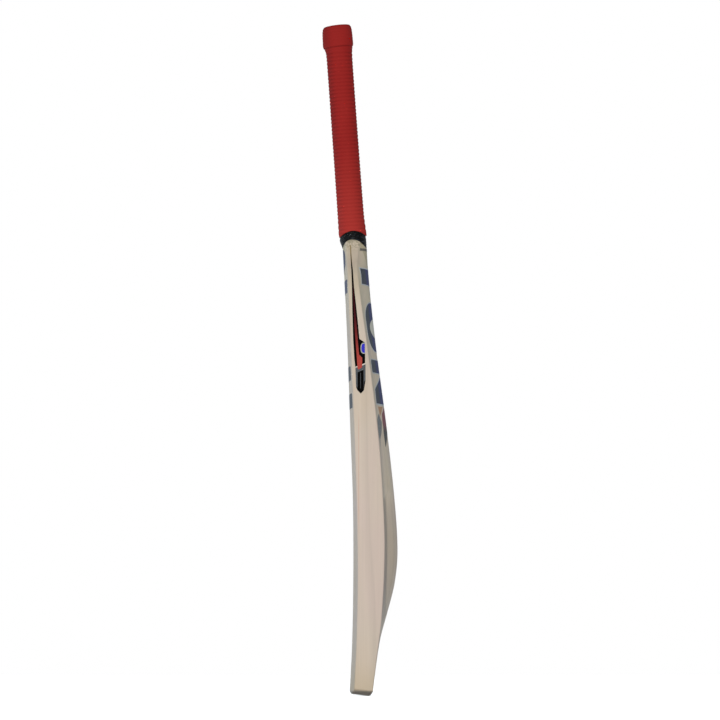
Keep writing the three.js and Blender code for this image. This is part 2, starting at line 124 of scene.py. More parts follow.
LIP_ARCH_END = 30  # the ribs above the lip arch less and less up to here
RIB_PITCH = 4.7
RIB_RELIEF = 0.65
RIB_CREST = 0.2  # how far the ribs stand out from the CAD's plain sleeve
RIB_START = 16
RIB_END = 245
RIB_STEP = 0.36
LIP_ROUND = 0.7
CREASE_UP = 247.3
CREASE_REACH = 0.8
CREASE_DEPTH = 0.7
DENT_UP = 244.5  # under the collar the sleeve is drawn in on the face's side
DENT_REACH = 4.4
DENT_DEPTH = 0.85
COLLAR_RING_PITCH = 3.6
COLLAR_RELIEF = 0.22

BINDING_FOOT = -15.8
TURN_PITCH = 2.1  # height of one turn of twine
TURN_RELIEF = 0.42
TURN_ARCH = 3.5  # the turns rise towards the edges, as the grip's lip does
TURN_WOBBLE = 0.35
BULGE = 1.9  # extra turns thicken the binding towards the face
BULGE_UP = 1
BULGE_REACH = 6
BARE_TOP = 15  # the turns are wound in detail up to here, just inside the grip

SPRING_THICKNESS = 1.6
LAYER_PITCH = 6.8
COLUMN_EDGE = 4.6
WEDGE_TIP_Z = 432
WEDGE_TIP_HALF = 4
WEDGE_TOP_Z = 580
WEDGE_TOP_HALF = 15.4
GAP = 0.3  # the CAD's gap between glued parts
FAR = 80  # past everything that a cutting tool has to clear

# ------------------------ fineness of the visual meshes

GLUE = 0.12  # width of the glue lines that show
STRAIGHT_STEP = 2.5
SHOULDER_STEPS = 56
FACE_STEPS = 52
BACK_STEPS = 84
CORNER_STEPS = 6
AROUND = 160
TURN_STEPS = 10
ARCH_STEPS = 60
FILM_STEP = 2.5  # distance between the folds that lay a film on the blade
FILM_LIFT = 0.03
FILM_THICKNESS = 0.12
INK_THICKNESS = 0.05
INK_GAP = 0.01


# ------------------------ curves

def through(points):
    """A smooth function through [position, value] points, the one that the CAD uses."""
    at, value = np.array(points, float).T
    last = len(at) - 1
    before = np.maximum(np.arange(last + 1) - 1, 0)
    after = np.minimum(np.arange(last + 1) + 1, last)
    slopes = (value[after] - value[before]) / (at[after] - at[before])

    def smooth(position):
        position = np.asarray(position, float)
        i = np.clip(np.searchsorted(at, position), 1, last)
        span = at[i] - at[i - 1]
        t = (position - at[i - 1]) / span
        s = 1 - t
        ends = value[i - 1] * s * s * (1 + 2 * t) + value[i] * t * t * (1 + 2 * s)
        return ends + slopes[i - 1] * span * s * s * t - slopes[i] * span * t * t * s

    return smooth


def bezier(points, t):
    """A Bezier curve of any degree at the values t, as an array of points."""
    t = np.asarray(t, float)[:, None]
    degree = len(points) - 1
    return sum(
        math.comb(degree, i) * t**i * (1 - t) ** (degree - i) * np.array(point, float)
        for i, point in enumerate(points)
    )


def smoothstep(low, high, value):
    t = np.clip((value - low) / (high - low), 0, 1)
    return t * t * (3 - 2 * t)


crest_at = through(CREST_LINE)
face_edge_at = through(FACE_EDGE_LINE)
back_edge_at = through(BACK_EDGE_LINE)
spine_at = through(SPINE_LINE)
corner_at = through(CORNER_LINE)
arch_at = through(ARCH_LINE)
binding_rx = through(BINDING_RX)
binding_ry = through(BINDING_RY)
neck_offset = through(NECK_OFFSET)
core_rx = through(CORE_RX)
grip_outside = through(GRIP_OUTSIDE)

SHOULDER = bezier(
    ((HALF_WIDTH, SHOULDER_Z), *SHOULDER_PULLS, (NECK_HALF_WIDTH, BLADE_TOP_Z)),
    np.linspace(0, 1, SHOULDER_STEPS + 1),
)


def half_width_at(z):
    return np.interp(z, SHOULDER[:, 1], SHOULDER[:, 0])


def face_at(z, across):
    return crest_at(z) + (face_edge_at(z) - crest_at(z)) * across**2


def back_at(z, across):
    """The back across the blade: a bell, scooped at the swell, that turns into a dome on top."""
    wide = (1 + np.cos(np.pi * across)) / 2
    narrow = (1 + np.cos(np.pi * np.minimum(np.abs(across) / SCOOP_FOOT, 1))) / 2
    bell = narrow + (wide - narrow) * smoothstep(SCOOP_START_Z, SCOOP_END_Z, z)
    dome = 1 - np.abs(across) ** DOME_POWER
    rounded = smoothstep(DOME_START_Z, DOME_END_Z, z)
    rise = bell + (dome - bell) * rounded
    hollow = 4 * across**2 * (1 - across**2)
    swell = np.exp(-(((z - SCALLOP_Z) / SCALLOP_REACH) ** 2))
    return back_edge_at(z) + (spine_at(z) - back_edge_at(z)) * rise - SCALLOP_DEPTH * swell * hollow


# ------------------------ meshes

def make_object(name, points, faces):
    """A mesh object from points in millimetres."""
    mesh = bpy.data.meshes.new(name)
    mesh.from_pydata((np.asarray(points, float) * MM).tolist(), [], faces)
    mesh.validate()
    made = bpy.data.objects.new(name, mesh)
    bpy.context.scene.collection.objects.link(made)
    return made


def loft(name, rings, closed=False):
    """A skin through rings of equal length. A closed loft makes a sleeve, an open one gets caps."""
    rings = np.asarray(rings, float)
    count, around = rings.shape[:2]
    here = np.arange(around)
    beside = (here + 1) % around
    faces = []
    for k in range(count if closed else count - 1):
        low = k * around
        high = (k + 1) % count * around
        faces += np.stack([low + here, low + beside, high + beside, high + here], 1).tolist()
    if not closed:
        faces.append(here[::-1].tolist())
        faces.append(((count - 1) * around + here).tolist())
    return make_object(name, rings.reshape(-1, 3), faces)


def prism(name, outline, axis, low, high):
    """Extrudes an outline along X, from (y, z) points, or along Y, from (x, z) points."""
    outline = np.asarray(outline, float)
    rings = []
    for at in (low, high):
        ring = np.insert(outline, 0 if axis == "X" else 1, at, axis=1)
        rings.append(ring)
    made = loft(name, rings)
    turn_outwards(made)
    return made


def turn_outwards(made):
    work = bmesh.new()
    work.from_mesh(made.data)
    bmesh.ops.recalc_face_normals(work, faces=work.faces)
    work.to_mesh(made.data)
    work.free()


def carve(body, *steps):
    """Applies booleans in turn, each given as an operation and a tool, and removes the tools."""
    for operation, tool in steps:
        cut = body.modifiers.new("cut", "BOOLEAN")
        cut.operation = operation
        cut.solver = "EXACT"
        cut.object = tool
    graph = bpy.context.evaluated_depsgraph_get()
    carved = bpy.data.meshes.new_from_object(body.evaluated_get(graph))
    body.modifiers.clear()
    body.data = carved
    for _, tool in steps:
        bpy.data.objects.remove(tool)
    return body


def duplicate(original, name):
    twin = bpy.data.objects.new(name, original.data.copy())
    bpy.context.scene.collection.objects.link(twin)
    return twin


def smooth_shade(made, sharp_degrees=32):
    made.data.shade_smooth()
    made.data.set_sharp_from_angle(angle=math.radians(sharp_degrees))


def show(made, slot, materials, *nodes):
    """Gives a piece its materials and its place in the frame."""
    made.data.materials.clear()
    for material in materials:
        made.data.materials.append(material)
    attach(made, "root")
    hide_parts(*nodes)


# ------------------------ node trees

class Tree:
    """A material's nodes, with the object's own coordinates in metres at hand."""

    def __init__(self, name):
        self.material = bpy.data.materials.new(name)
        self.material.use_nodes = True
        self.nodes = self.material.node_tree.nodes
        self.links = self.material.node_tree.links
        self.nodes.clear()
        output = self.nodes.new("ShaderNodeOutputMaterial")
        self.shader = self.nodes.new("ShaderNodeBsdfPrincipled")
        self.links.new(self.shader.outputs["BSDF"], output.inputs["Surface"])
        coordinates = self.nodes.new("ShaderNodeTexCoord")
        self.place = coordinates.outputs["Object"]
        self.facing = coordinates.outputs["Normal"]

    def set(self, node, socket, value):
        """Links an output to a socket, or stores a plain value on it."""
        target = node.inputs[socket]
        if isinstance(value, bpy.types.NodeSocket):
            self.links.new(value, target)
        else:
            target.default_value = value

    def node(self, kind, **values):
        """A new node with some of its sockets set."""
        made = self.nodes.new(f"ShaderNode{kind}")
        for socket, value in values.items():
            self.set(made, socket, value)
        return made

    def stretched(self, scale, turn=(0, 0, 0)):
        return self.node("Mapping", Vector=self.place, Scale=scale, Rotation=turn).outputs[0]

    def noise(self, scale, vector=None, detail=2.0, rough=0.5):
        vector = self.place if vector is None else vector
        made = self.node("TexNoise", Vector=vector, Scale=scale, Detail=detail, Roughness=rough)
        return made.outputs["Fac"]

    def math(self, operation, *values):
        made = self.node("Math")
        made.operation = operation
        for i, value in enumerate(values):
            self.set(made, i, value)
        return made.outputs[0]

    def times(self, *values):
        return functools.reduce(lambda first, second: self.math("MULTIPLY", first, second), values)

    def axis(self, name, vector=None):
        return self.node("SeparateXYZ", Vector=self.place if vector is None else vector).outputs[name]

    def span(self, value, low, high, to_low=0.0, to_high=1.0, smooth=True):
        made = self.node("MapRange", Value=value)
        made.interpolation_type = "SMOOTHSTEP" if smooth else "LINEAR"
        limits = {"From Min": low, "From Max": high, "To Min": to_low, "To Max": to_high}
        for socket, limit in limits.items():
            self.set(made, socket, limit)
        return made.outputs["Result"]

    def between(self, value, heights, below=0.0, above=1.0):
        """Eases from one value below a pair of lengths, in millimetres, to another above it."""
        low, high = heights
        return self.span(value, low * MM, high * MM, below, above)

    def ramp(self, value, *stops):
        made = self.node("ValToRGB", Fac=value)
        elements = made.color_ramp.elements
        while len(elements) < len(stops):
            elements.new(0.5)
        for element, (position, colour) in zip(elements, stops):
            element.position = position
            element.color = (*colour, 1)
        return made.outputs["Color"]

    def mottled(self, pattern, tones):
        """Two close tones, mixed by a pattern."""
        return self.ramp(pattern, (0.3, srgb(tones[0])), (0.7, srgb(tones[1])))

    def mix(self, amount, first, second, blend="MIX"):
        made = self.node("Mix")
        made.data_type = "RGBA"
        made.blend_type = blend
        for socket, value in ((0, amount), (6, first), (7, second)):
            self.set(made, socket, value)
        return made.outputs[2]

    def shade(self, colour, amount):
        """A colour times a grey value."""
        grey = self.node("CombineXYZ", X=amount, Y=amount, Z=amount).outputs[0]
        return self.mix(1.0, colour, grey, "MULTIPLY")

    def tint(self, amount, colour, factors):
        """Multiplies a colour by three factors, as far as the amount says."""
        return self.mix(amount, colour, (*factors, 1), "MULTIPLY")

    def bump(self, height, distance, strength=1.0):
        made = self.node("Bump", Height=height, Distance=distance, Strength=strength)
        self.set(self.shader, "Normal", made.outputs["Normal"])

    def finish(self, colour, roughness, specular):
        self.set(self.shader, "Base Color", colour)
        self.set(self.shader, "Roughness", roughness)
        self.shader.inputs["Specular IOR Level"].default_value = specular
        return self.material


def srgb(code):
    """A six-digit colour code as linear values."""
    parts = [int(code[i:i + 2], 16) / 255 for i in (0, 2, 4)]
    return tuple(p / 12.92 if p <= 0.04045 else ((p + 0.055) / 1.055) ** 2.4 for p in parts)


def rgba(code):
    return (*srgb(code), 1)


# ------------------------ materials

RING_SPACING = 0.009  # distance between two growth rings, in metres
RING_TILT = 0.35  # how far the rings lean away from square to the face, in radians
RING_WANDER = 1.6
FACES = (0.6, 0.85)  # a surface counts as the face or the back from this much of its normal's Y

# Heights on the blade between which its tone changes, in millimetres.
# the toe's underside is darker: its end grain, and painted shade on the crowned underside
END_GRAIN_AND_SHADE = (4.5, 7.5)
YELLOW_TOE = (6, 50)
# below these heights painted shade dulls the face and the back
SHADED_FOOT = (120, 290)
VEIN_FOOT = (190, 240)
# from these heights up painted light pales the back
LIT_BACK_FOOT = (220, 275)
VEIN_TOP = (335, 360)
NECK_TINT = (440, 530)
RINGS_FADE = (450, 510)
# and from these up that painted light fades
LIT_BACK_TOP = (500, 550)
GLUE_SMUDGES = (558, 573)
# painted shade along the rounded top of the arch around the handle
ARCH_TOP_SHADE = (572.5, 576.5)

VEIN_DEPTH = 1.6  # the vein on the edge runs this far towards the face
VEIN_WIDTH = (0.2, 0.9)


def willow_grain(tree):
    """Pale willow wood: growth rings as thin lines up the blade, fine fibres and streaks."""
    height = tree.axis("Z")
    patches = tree.noise(1.0, tree.stretched((26, 26, 7)), 1.5)
    base = tree.ramp(
        patches, (0.3, srgb("ccb9ac")), (0.5, srgb("cbbbaa")), (0.7, srgb("cab8a3")),
    )
    wander = tree.noise(1.0, tree.stretched((9, 9, 3.2)), 1.0)
    across = tree.times(tree.axis("X"), math.cos(RING_TILT) / RING_SPACING)
    deep = tree.times(tree.axis("Y"), math.sin(RING_TILT) / RING_SPACING)
    flat_rings = tree.math("ADD", across, deep)
    rings = tree.math("ADD", flat_rings, tree.times(wander, RING_WANDER))
    line = tree.ramp(
        tree.math("FRACT", rings),
        (0.0, (0.98,) * 3), (0.55, (1.0,) * 3), (0.86, (0.9,) * 3), (0.93, (0.97,) * 3),
        (1.0, (0.98,) * 3),
    )
    fibres = tree.noise(1.0, tree.stretched((1400, 1400, 14)), 3.0, 0.6)
    streaks = tree.noise(1.0, tree.stretched((240, 240, 3)), 2.0)
    lined = tree.mix(tree.between(height, RINGS_FADE, 1.0, 0.25), base, line, "MULTIPLY")
    grained = tree.shade(lined, tree.span(fibres, 0.25, 0.75, 0.955, 1.03, False))
    streaked = tree.shade(grained, tree.span(streaks, 0.3, 0.7, 0.965, 1.02, False))
    return streaked, fibres, streaks


def willow_stains_and_shade(tree, wood):
    """The vein on the edge, the toe's yellowing, its end grain with painted shade on the underside,
    glue smudges at the neck and painted shade along the top of the arch.
    """
    height = tree.axis("Z")
    from_vein = tree.math("ABSOLUTE", tree.math("ADD", tree.axis("Y"), VEIN_DEPTH * MM))
    across_vein = tree.between(from_vein, VEIN_WIDTH, 1.0, 0.0)
    foot = tree.between(height, VEIN_FOOT)
    top = tree.between(height, VEIN_TOP, 0.65, 0.0)
    vein = tree.times(across_vein, foot, top)
    veined = tree.mix(vein, wood, rgba("c49d86"))
    yellowed = tree.mix(tree.between(height, YELLOW_TOE, 0.55, 0.0), veined, rgba("bba888"))
    # end grain and painted shade darken the toe's underside
    end_grain_and_shade = tree.mix(tree.between(height, END_GRAIN_AND_SHADE, 0.75, 0.0), yellowed, rgba("6e665c"))
    blotches = tree.span(tree.noise(420, None, 3.0, 0.6), 0.4, 0.6)
    glue = tree.times(tree.between(height, GLUE_SMUDGES, 0.0, 0.75), blotches)
    smudged = tree.mix(glue, end_grain_and_shade, rgba("8b8269"))
    # painted shade along the arch's rounded top
    return tree.mix(tree.between(height, ARCH_TOP_SHADE, 0.0, 0.7), smudged, rgba("8d8271"))


def willow_painted_light_and_tones(tree, wood):
    """The broad sides' tones: a slight tint on the back, painted light that pales the back above the
    swell, painted shade that dulls the face and the back low on the blade, and a tint towards the
    neck.
    """
    height = tree.axis("Z")
    facing = tree.axis("Y", tree.facing)
    back = tree.span(facing, *FACES)
    broad = tree.span(tree.math("ABSOLUTE", facing), *FACES)
    lower = tree.between(height, LIT_BACK_FOOT)
    upper = tree.between(height, LIT_BACK_TOP, 1.0, 0.45)
    # painted light on the back above the swell
    lit_back = tree.times(back, lower, upper)
    # painted shade on the face and the back low on the blade
    shaded_low = tree.times(broad, tree.between(height, SHADED_FOOT, 1.0, 0.0))
    colour = tree.tint(back, wood, (1.0, 1.01, 0.98))
    colour = tree.tint(lit_back, colour, (1.2, 1.21, 1.17))
    colour = tree.tint(shaded_low, colour, (0.88, 0.88, 0.88))
    return tree.tint(tree.between(height, NECK_TINT), colour, (1.0, 1.02, 0.95))


def willow_material():
    """Pale willow, as sawn and oiled, with stains, and with painted light and shade on its sides, toe
    and neck.
    """
    tree = Tree("willow")
    wood, fibres, streaks = willow_grain(tree)
    colour = willow_painted_light_and_tones(tree, willow_stains_and_shade(tree, wood))
    tree.bump(fibres, 0.00012, 0.5)
    return tree.finish(colour, tree.span(streaks, 0.3, 0.7, 0.46, 0.56, False), 0.4)


def cane_material():
    """Cane: straw yellow with fine dark pores along the strip."""
    tree = Tree("cane")
    base = tree.mottled(tree.noise(1.0, tree.stretched((60, 60, 6)), 2.0), ("b2a688", "beb294"))
    pores = tree.noise(1.0, tree.stretched((2600, 2600, 40)), 2.0, 0.7)
    spotted = tree.shade(base, tree.span(pores, 0.28, 0.5, 0.78, 1.0))
    tree.bump(pores, 0.0001, 0.5)
    return tree.finish(spotted, 0.5, 0.4)


def spring_rubber_material():
    """Flat springs: dark rubber and cork, speckled."""
    tree = Tree("spring_rubber")
    crumbs = tree.noise(1900, None, 2.0, 0.7)
    colour = tree.ramp(crumbs, (0.35, srgb("2b2825")), (0.6, srgb("46413a")))
    tree.bump(crumbs, 0.0002, 0.6)
    return tree.finish(colour, 0.85, 0.3)


GRIP_LIT_FOOT = (580, 720)  # painted light makes the grip paler below these heights
GRIP_SHADED_SIDE = (600, 820)  # and painted shade darkens the side towards the face above these
GROOVE_SHARE = (0.08, 0.34)  # distance from a groove's middle, in ribs, over which the painted shade fades
CREASE_WIDTH = (0.3, 1.3)


def along_handle(tree):
    """The height up the leaning handle and the place across it, in metres."""
    over = tree.math("SUBTRACT", tree.axis("Z"), NECK[2] * MM)
    beside = tree.math("SUBTRACT", tree.axis("Y"), NECK[1] * MM)
    sine, cosine = math.sin(LEAN), math.cos(LEAN)
    up = tree.math("SUBTRACT", tree.times(over, cosine), tree.times(beside, sine))
    side = tree.math("ADD", tree.times(over, sine), tree.times(beside, cosine))
    return up, side


def grip_groove_shade(tree, up, side):
    """How much painted shade darkens the grooves between the ribs, more towards the sides, and the
    crease under the collar.
    """
    from_start = tree.math("SUBTRACT", up, RIB_START * MM)
    ribs = tree.math("FRACT", tree.math("DIVIDE", from_start, RIB_PITCH * MM))
    from_groove = tree.math("ABSOLUTE", tree.math("SUBTRACT", ribs, 0.5))
    groove = tree.span(from_groove, *GROOVE_SHARE, 1.0, 0.0)
    ribbed = tree.between(up, (RIB_END - 3, RIB_END), 1.0, 0.0)
    strength = tree.between(tree.math("ABSOLUTE", side), (3, 14), 0.05, 0.18)
    groove_shade = tree.times(groove, ribbed, strength)
    tilted = tree.math("SUBTRACT", up, tree.times(side, COLLAR_TILT))
    from_crease = tree.math("ABSOLUTE", tree.math("SUBTRACT", tilted, CREASE_UP * MM))
    crease = tree.between(from_crease, CREASE_WIDTH, 0.26, 0.0)
    return tree.math("MAXIMUM", groove_shade, crease)


def grip_rubber_material():
    """Red grip rubber: slightly uneven, with a fine matt grain, painted shade in the grooves and the
    crease, painted light on its foot and painted shade on the side towards the face.
    """
    tree = Tree("grip_rubber")
    height = tree.axis("Z")
    patches = tree.noise(1.0, tree.stretched((40, 40, 16)), 2.0)
    grain = tree.noise(2600, None, 2.0, 0.6)
    red = tree.mottled(patches, ("921f1d", "9c2522"))
    grained = tree.shade(red, tree.span(grain, 0.3, 0.7, 0.94, 1.05, False))
    # painted light: the grip paler towards its foot
    lit_foot = tree.mix(tree.between(height, GRIP_LIT_FOOT, 0.9, 0.1), grained, rgba("ae352f"))
    up, side = along_handle(tree)
    # painted shade in the grooves and the crease under the collar
    groove_shaded = tree.shade(lit_foot, tree.math("SUBTRACT", 1.0, grip_groove_shade(tree, up, side)))
    # painted shade on the side towards the face
    shaded_face_side = tree.between(height, GRIP_SHADED_SIDE, 0.95, 0.77)
    colour = tree.shade(groove_shaded, tree.between(side, (-17, -5), shaded_face_side, 1.04))
    tree.bump(grain, 0.00008, 0.6)
    return tree.finish(colour, tree.span(patches, 0.3, 0.7, 0.66, 0.78, False), 0.07)


def twine_material():
    """Black waxed twine: fine twisted fibres, with a few painted highlight strokes."""
    tree = Tree("twine")
    fibres = tree.noise(1.0, tree.stretched((900, 900, 5200), (0.5, 0, 0)), 3.0, 0.7)
    black = tree.ramp(fibres, (0.35, srgb("020303")), (0.75, srgb("0a0c0d")))
    creases = tree.noise(1.0, tree.stretched((210, 210, 640), (0.35, 0, 0)), 1.5)
    # painted highlights along the creases
    colour = tree.mix(tree.span(creases, 0.56, 0.68, 0.0, 0.9), black, rgba("2b3138"))
    tree.bump(tree.math("ADD", tree.times(creases, 6.0), fibres), 0.0002, 0.9)
    worn = tree.noise(240, None, 2.0)
    return tree.finish(colour, tree.span(worn, 0.35, 0.65, 0.32, 0.46, False), 0.1)


def ripple(tree):
    """The faint ripple of a film on wood."""
    tree.bump(tree.noise(1.0, tree.stretched((160, 160, 40)), 2.0), 0.0002, 0.25)


def film_material(name, tones, roughness):
    """A printed film in two close tones."""
    tree = Tree(name)
    colour = tree.mottled(tree.noise(420, None, 3.0), tones)
    ripple(tree)
    return tree.finish(colour, roughness, 0.12)


def turning_film_material(name, heights, below, above, roughness, specular):
    """A printed film that turns from one pair of tones to another up the blade."""
    tree = Tree(name)
    mottle = tree.noise(420, None, 3.0)
    turn = tree.between(tree.axis("Z"), heights)
    colour = tree.mix(turn, tree.mottled(mottle, below), tree.mottled(mottle, above))
    return tree.finish(colour, roughness, specular)


def block_film_material():
    """The back's dark film: navy over the spine and charcoal towards the edges."""
    tree = Tree("block_film")
    mottle = tree.noise(380, None, 3.0)
    navy = tree.mottled(mottle, ("3a3e66", "484c74"))
    charcoal = tree.mottled(mottle, ("464a52", "50555c"))
    from_spine = tree.math("ABSOLUTE", tree.axis("X"))
    colour = tree.mix(tree.between(from_spine, (18, 25)), navy, charcoal)
    ripple(tree)
    return tree.finish(colour, 0.5, 0.12)


def make_films():
    """All printed films, by name."""
    plain = {
        "blue": (("1c18b4", "2420c4"), 0.45),
        "silver": (("9a9a92", "aaaaa2"), 0.35),
        "silver_grey": (("bcc0c2", "c8cccc"), 0.4),
        "pale": (("c6bdb0", "d2cabf"), 0.4),
        "slate": (("41464b", "4b5056"), 0.4),
        "navy": (("474c60", "51566a"), 0.4),
        "window": (("d6d2c2", "e0dccb"), 0.45),
        "grey": (("747878", "908f8c"), 0.4),
        "orange": (("b8906e", "c59b78"), 0.42),
        "dash": (("69655f", "777369"), 0.5),
    }
    films = {name: film_material(f"{name}_film", *look) for name, look in plain.items()}
    films["black"] = turning_film_material(
        "needle_film", (540, 567), ("050505", "0d0b0b"), ("85704c", "968056"), 0.8, 0.02
    )
    films["red"] = turning_film_material(
        "stripe_film", (410, 482), ("b2463d", "bc4f46"), ("3c0d14", "481218"), 0.7, 0.06
    )
    films["accent"] = turning_film_material(
        "accent_film", (331, 345), ("545454", "5f5f5e"), ("835358", "915e64"), 0.5, 0.12
    )
    films["block"] = block_film_material()
    return films


def floor_material():
    """A pale studio floor with the slightest unevenness."""
    tree = Tree("studio_floor")
    cloud = tree.noise(1.3, None, 2.0)
    colour = tree.ramp(cloud, (0.3, (0.93, 0.93, 0.93)), (0.7, (0.96, 0.96, 0.96)))
    return tree.finish(colour, 0.85, 0.1)


# ------------------------ blade

def blade_ring(z, half_width):
    """One section of the blade, anticlockwise from the face's left corner."""
    corner = corner_at(z)
    inner = half_width - corner
    across = inner / half_width
    face = face_at(z, across)
    back = back_at(z, across)
    turn = np.linspace(0, np.pi / 2, CORNER_STEPS + 1)
    sine, cosine = corner * np.sin(turn), corner * np.cos(turn)
    low = np.stack([inner + sine, face + corner - cosine], 1)[1:]
    high = np.stack([inner + cosine, back - corner + sine], 1)[:-1]
    right = np.concatenate([low, high])
    side = np.linspace(-1, 1, FACE_STEPS + 1)
    front = np.stack([side * inner, face_at(z, side * across)], 1)
    side = np.linspace(1, -1, BACK_STEPS + 1)
    rear = np.stack([side * inner, back_at(z, side * across)], 1)
    left = right[::-1] * (-1, 1)
    ring = np.concatenate([front, right, rear, left])
    return np.insert(ring, 2, z, axis=1)


def blade_envelope(name, from_z):
    """The blade before it is trimmed, from a height up."""
    straight = np.arange(from_z, SHOULDER_Z - STRAIGHT_STEP / 2, STRAIGHT_STEP)
    rings = [blade_ring(z, HALF_WIDTH) for z in straight]
    rings += [blade_ring(z, half_width) for half_width, z in SHOULDER]
    return loft(name, rings)


def beyond_arch(name, lift, end_z):
    """Everything between the arch in which the willow ends around the handle and a height."""
    depths = np.linspace(ARCH_LINE[0][0], ARCH_LINE[-1][0], ARCH_STEPS)
    outline = [(-FAR, end_z), (-FAR, ARCH_LINE[0][1] + lift)]
    outline += [(y, arch_at(y) + lift) for y in depths]
    outline += [(FAR, ARCH_LINE[-1][1] + lift), (FAR, end_z)]
    return prism(name, outline, "X", -FAR, FAR)


def above_arch(drop):
    return beyond_arch("above_arch", -drop, BLADE_TOP_Z + FAR)


def below_toe_front():
    """What the toe's front view leaves out: flat middle, crowned sides and rounded corners."""
    crown_end = HALF_WIDTH - TOE_CORNER
    t = np.linspace(0, 1, 25)
    crown = bezier(
        ((TOE_FLAT_HALF, 0), ((TOE_FLAT_HALF + crown_end) / 2, 0), (crown_end, TOE_CROWN)), t
    )
    top = TOE_CROWN + TOE_CORNER
    pull = (HALF_WIDTH, TOE_CROWN + TOE_CORNER / 2)
    corner = bezier(((crown_end, TOE_CROWN), pull, (HALF_WIDTH, top)), t[::3])
    right = [*crown, *corner[1:], (FAR, top + FAR), (FAR, -FAR)]
    outline = right + [(-x, z) for x, z in reversed(right)]
    made = prism("below_toe_front", outline, "Y", -2 * FAR, 2 * FAR)
    for vertex in made.data.vertices:
        _, y, z = vertex.co / MM
        vertex.co.y = MM * (TOE_BACK_Y + y * math.cos(TOE_TILT) + z * math.sin(TOE_TILT))
        vertex.co.z = MM * (z * math.cos(TOE_TILT) - y * math.sin(TOE_TILT))
    return made


def below_toe_side():
    """What the toe's side view leaves out: a small rounding at the face, a larger at the back."""
    face_z = (TOE_BACK_Y - TOE_FACE_Y) * math.tan(TOE_TILT)
    t = np.linspace(0, 1, 17)
    pull = (TOE_FACE_PULL[0], face_z + TOE_FACE_PULL[1])
    front = bezier((TOE_FACE_ROUND, pull, (TOE_FACE_Y, face_z)), t)
    rear = bezier(((TOE_BACK_Y, 0), TOE_BACK_PULL, TOE_BACK_ROUND), t)
    outline = [(-FAR, -FAR), (-FAR, FAR), *front, *rear, (FAR, FAR), (FAR, -FAR)]
    return prism("below_toe_side", outline, "X", -FAR, FAR)


def splice_wedge(grow):
    outline = (
        (-WEDGE_TIP_HALF - grow, WEDGE_TIP_Z - grow),
        (WEDGE_TIP_HALF + grow, WEDGE_TIP_Z - grow),
        (WEDGE_TOP_HALF + grow, WEDGE_TOP_Z),
        (-WEDGE_TOP_HALF - grow, WEDGE_TOP_Z),
    )
    return prism("splice_wedge", outline, "Y", -FAR, FAR)


# ------------------------ handle

def at_handle(points):
    """Points given across and up the leaning handle, in the bat's own frame."""
    x, y, up = np.moveaxis(np.asarray(points, float), -1, 0)
    leaned_y = y * math.cos(LEAN) - up * math.sin(LEAN)
    leaned_z = y * math.sin(LEAN) + up * math.cos(LEAN)
    return np.stack([x + NECK[0], leaned_y + NECK[1], leaned_z + NECK[2]], -1)


ANGLES = np.arange(AROUND) / AROUND * 2 * np.pi


def handle_ring(up, radius_x, radius_y, offset=0.0, arch=0.0, tilt=0.0):
    """A round section of the handle, which may rise towards the edges or tilt to the back."""
    rise = arch * np.cos(ANGLES) ** 2 + tilt * radius_y * np.sin(ANGLES)
    ring = [radius_x * np.cos(ANGLES), offset + radius_y * np.sin(ANGLES), up + rise]
    return at_handle(np.stack(ring, 1))


def binding_ring(up, grow=0.0):
    return handle_ring(up, binding_rx(up) + grow, binding_ry(up) + grow, neck_offset(up))


NECK_STOPS = np.concatenate([np.arange(-16, 16, 1.0), np.arange(16, 60, 4.0)])


def handle_core(name, grow, top):
    inset = TWINE_THICKNESS + GAP - grow
    stops = [*NECK_STOPS, 60, top]
    rings = [
        handle_ring(up, core_rx(up) + grow, binding_ry(up) - inset, neck_offset(up)) for up in stops
    ]
    return loft(name, rings)


def blank_box(from_x, to_x, from_y, to_y):
    """A slab across the leaning handle, for cutting a strip out of the blank."""
    low, high = -FAR - CANE_TOP, CANE_TOP + FAR
    corners = [(from_x, from_y), (to_x, from_y), (to_x, to_y), (from_x, to_y)]
    rings = [at_handle([(x, y, up) for x, y in corners]) for up in (low, high)]
    return loft("blank_box", rings)


def make_blade_and_canes(willow, cane):
    blade = blade_envelope("willow_blade", BLADE_BOTTOM_Z)
    carve(
        blade,
        ("DIFFERENCE", above_arch(0)),
        ("DIFFERENCE", below_toe_front()),
        ("DIFFERENCE", below_toe_side()),
        ("DIFFERENCE", splice_wedge(GLUE)),
        ("DIFFERENCE", handle_core("core_cut", GLUE, CANE_TOP)),
    )
    smooth_shade(blade)
    show(blade, "willow", [willow], "blade")

    splice = blade_envelope("splice", WEDGE_TIP_Z - 2 * STRAIGHT_STEP)
    carve(splice, ("DIFFERENCE", above_arch(GAP)), ("INTERSECT", splice_wedge(0)))
    blank = handle_core("blank", 0, CANE_TOP)
    carve(blank, ("UNION", splice))
    clear = SPRING_THICKNESS / 2 + GAP
    layers = {"face": (-FAR, -LAYER_PITCH - clear), "back": (LAYER_PITCH + clear, FAR)}
    columns = {
        "left": (-FAR, -COLUMN_EDGE - GLUE / 2),
        "middle": (-COLUMN_EDGE + GLUE / 2, COLUMN_EDGE - GLUE / 2),
        "right": (COLUMN_EDGE + GLUE / 2, FAR),
    }
    for layer, depths in layers.items():
        for column, widths in columns.items():
            strip = duplicate(blank, f"cane_strip_{layer}_{column}")
            carve(strip, ("INTERSECT", blank_box(*widths, *depths)))
            smooth_shade(strip)
            show(strip, "cane", [cane], f"cane_{layer}_{column}")
    bpy.data.objects.remove(blank)


# ------------------------ twine binding

